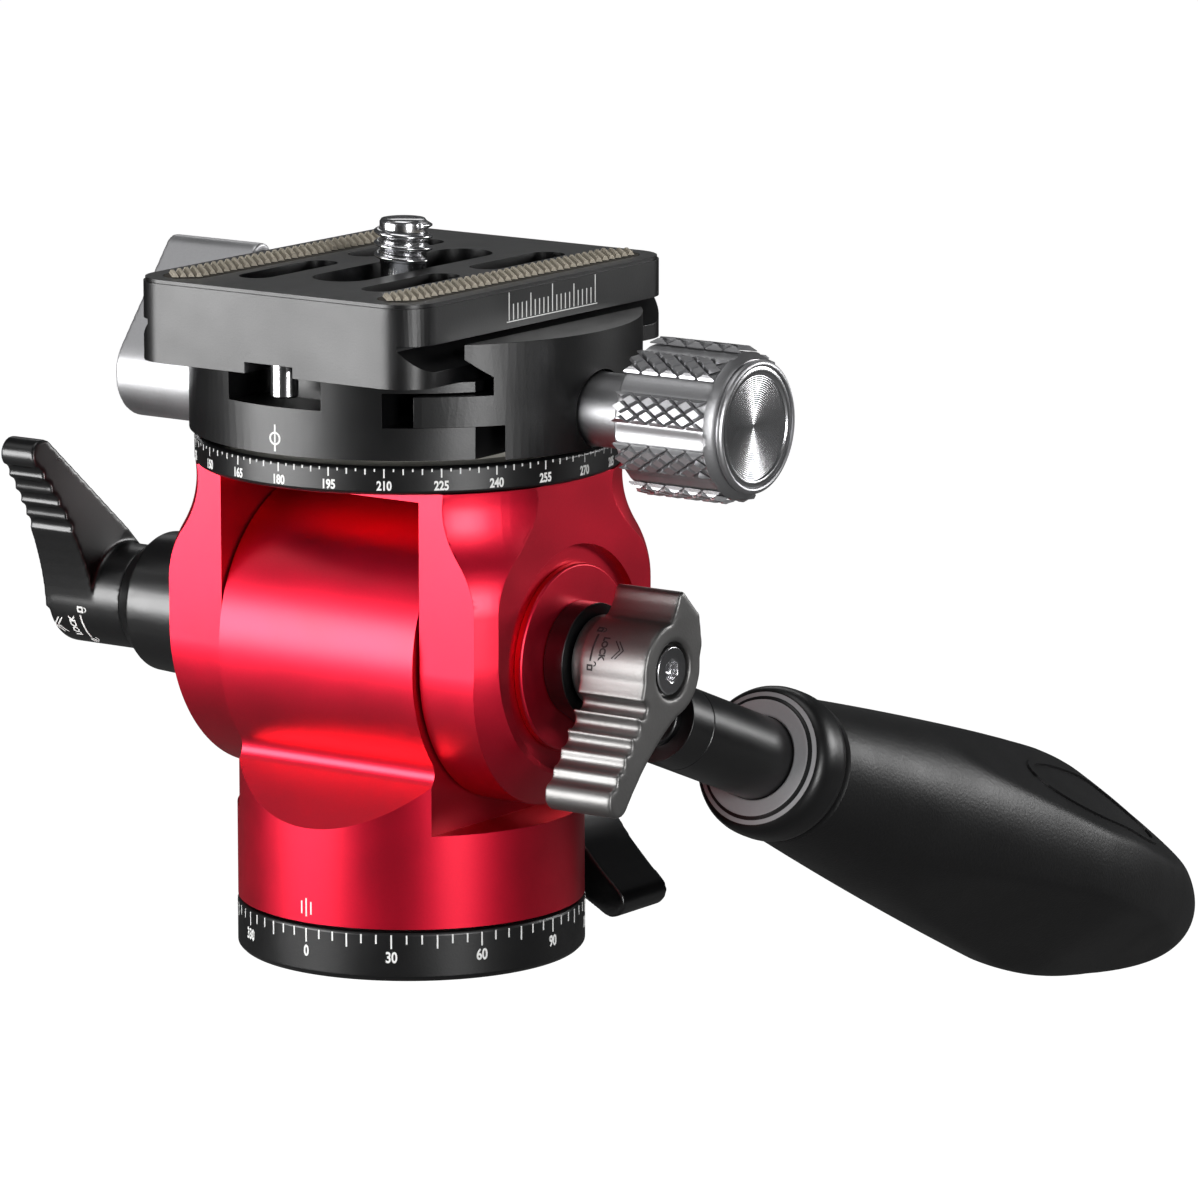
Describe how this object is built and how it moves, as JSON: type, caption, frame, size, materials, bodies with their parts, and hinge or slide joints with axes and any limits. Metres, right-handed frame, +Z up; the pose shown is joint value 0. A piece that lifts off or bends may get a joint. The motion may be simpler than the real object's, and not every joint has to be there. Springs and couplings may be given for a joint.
{
  "type": "fluid head",
  "caption": "Compact pan and tilt fluid head with a dial base, tilting yoke, panning dovetail clamp with a sliding plate, lock levers and a sloping steering handle.",
  "frame": {"origin": "centre of the foot, at the mouth of the tripod thread", "axes": "+Z up along the pan axis, +X along the tilt axis towards the clamp knob and handle lever, +Y towards the handle's grip"},
  "size_m": [0.0924, 0.1393, 0.0998],
  "materials": {
    "red_anodised": "satin red anodised",
    "black_anodised": "satin black anodised",
    "silver_aluminium": "satin machined",
    "steel": "bright",
    "bronze": "machined",
    "polymer": "smooth",
    "rubber_strip": "diamond-textured",
    "collar_plastic": "matte",
    "grip_rubber": "matte"
  },
  "bodies": {
    "base": {"base_dial": "black_anodised", "pan_spindle": "steel", "base_screws": "steel", "pan_drag_disc": "polymer", "pan_retainer": "steel", "pan_retainer_screw": "steel"},
    "column": {"pan_column": "red_anodised", "pan_bush_lower": "bronze", "pan_bush_upper": "bronze", "pan_brake_shoe": "bronze", "pan_lock_bush": "bronze", "tilt_shaft": "steel", "tilt_drag_disc_left": "polymer", "tilt_drag_disc_right": "polymer"},
    "tilt_yoke": {"yoke": "red_anodised", "tilt_bush_left": "bronze", "tilt_bush_right": "bronze", "yoke_cap": "red_anodised", "tilt_collar": "black_anodised", "tilt_brake_pad": "bronze", "handle_stud": "steel", "top_dial": "black_anodised", "clamp_pivot": "steel", "pivot_screws": "steel", "clamp_drag_disc": "polymer", "clamp_retainer": "steel", "clamp_retainer_screw": "steel"},
    "clamp": {"clamp_body": "black_anodised", "clamp_bush": "bronze", "clamp_brake_pad": "bronze"},
    "jaw": {"jaw": "black_anodised"},
    "knob": {"clamp_knob": "silver_aluminium", "knob_screw": "steel", "knob_cap": "silver_aluminium"},
    "plate": {"plate": "black_anodised", "plate_strip_left": "rubber_strip", "plate_strip_right": "rubber_strip", "stop_screws": "steel"},
    "screw_clip": {"screw_clip": "steel"},
    "camera_screw": {"camera_screw": "steel"},
    "clamp_lever": {"clamp_lever": "silver_aluminium", "clamp_lever_screw": "steel"},
    "tilt_lever": {"tilt_lever": "black_anodised", "tilt_lever_screw": "steel"},
    "handle_lever": {"handle_lever": "silver_aluminium", "handle_lever_screw": "steel"},
    "pan_lever": {"pan_lever": "black_anodised", "pan_lever_screw": "steel"},
    "handle": {"handle_arm": "black_anodised", "handle_rod": "black_anodised", "grip_collar": "collar_plastic", "handle_grip": "grip_rubber"}
  },
  "joints": [
    {"name": "pan", "type": "hinge", "parent": "base", "child": "column", "pos_m": [0, 0, 0], "axis": [0, 0, 1], "continuous": true},
    {"name": "tilt", "type": "hinge", "parent": "column", "child": "tilt_yoke", "pos_m": [0, 0, 0.0344], "axis": [1, 0, 0], "range_deg": [-45, 90]},
    {"name": "clamp_pan", "type": "hinge", "parent": "tilt_yoke", "child": "clamp", "pos_m": [0, 0, 0.0577], "axis": [0, 0, 1], "continuous": true},
    {"name": "jaw_slide", "type": "slide", "parent": "clamp", "child": "jaw", "axis": [1, 0, 0], "range_m": [-0.0016, 0.0008]},
    {"name": "knob_turn", "type": "hinge", "parent": "jaw", "child": "knob", "pos_m": [0.03, 0, 0.06175], "axis": [1, 0, 0], "range_deg": [-722, 361]},
    {"name": "plate_slide", "type": "slide", "parent": "clamp", "child": "plate", "axis": [0, 1, 0], "range_m": [-0.0021, 0.0021]},
    {"name": "screw_slide", "type": "slide", "parent": "plate", "child": "screw_clip", "axis": [0, 1, 0], "range_m": [-0.0104, 0.0104]},
    {"name": "screw_turn", "type": "hinge", "parent": "screw_clip", "child": "camera_screw", "pos_m": [-0.0007, 0, 0.07], "axis": [0, 0, 1], "continuous": true},
    {"name": "clamp_lever_turn", "type": "hinge", "parent": "clamp", "child": "clamp_lever", "pos_m": [-0.03, 0, 0.0603], "axis": [1, 0, 0], "range_deg": [-30, 60]},
    {"name": "tilt_lever_turn", "type": "hinge", "parent": "tilt_yoke", "child": "tilt_lever", "pos_m": [-0.04, 0, 0.0344], "axis": [1, 0, 0], "range_deg": [0, 60]},
    {"name": "handle_lever_turn", "type": "hinge", "parent": "tilt_yoke", "child": "handle_lever", "pos_m": [0.03, 0, 0.0344], "axis": [1, 0, 0], "range_deg": [-45, 30]},
    {"name": "handle_angle", "type": "hinge", "parent": "tilt_yoke", "child": "handle", "pos_m": [0.024, 0, 0.0344], "axis": [1, 0, 0], "range_deg": [-25, 60]},
    {"name": "pan_lever_turn", "type": "hinge", "parent": "column", "child": "pan_lever", "pos_m": [0, 0.0245, 0.0128], "axis": [0, 1, 0], "range_deg": [-60, 0]}
  ],
  "couplings": [
    {"joint": "knob_turn", "follows": "jaw_slide", "rad_per_m": 7854}
  ]
}
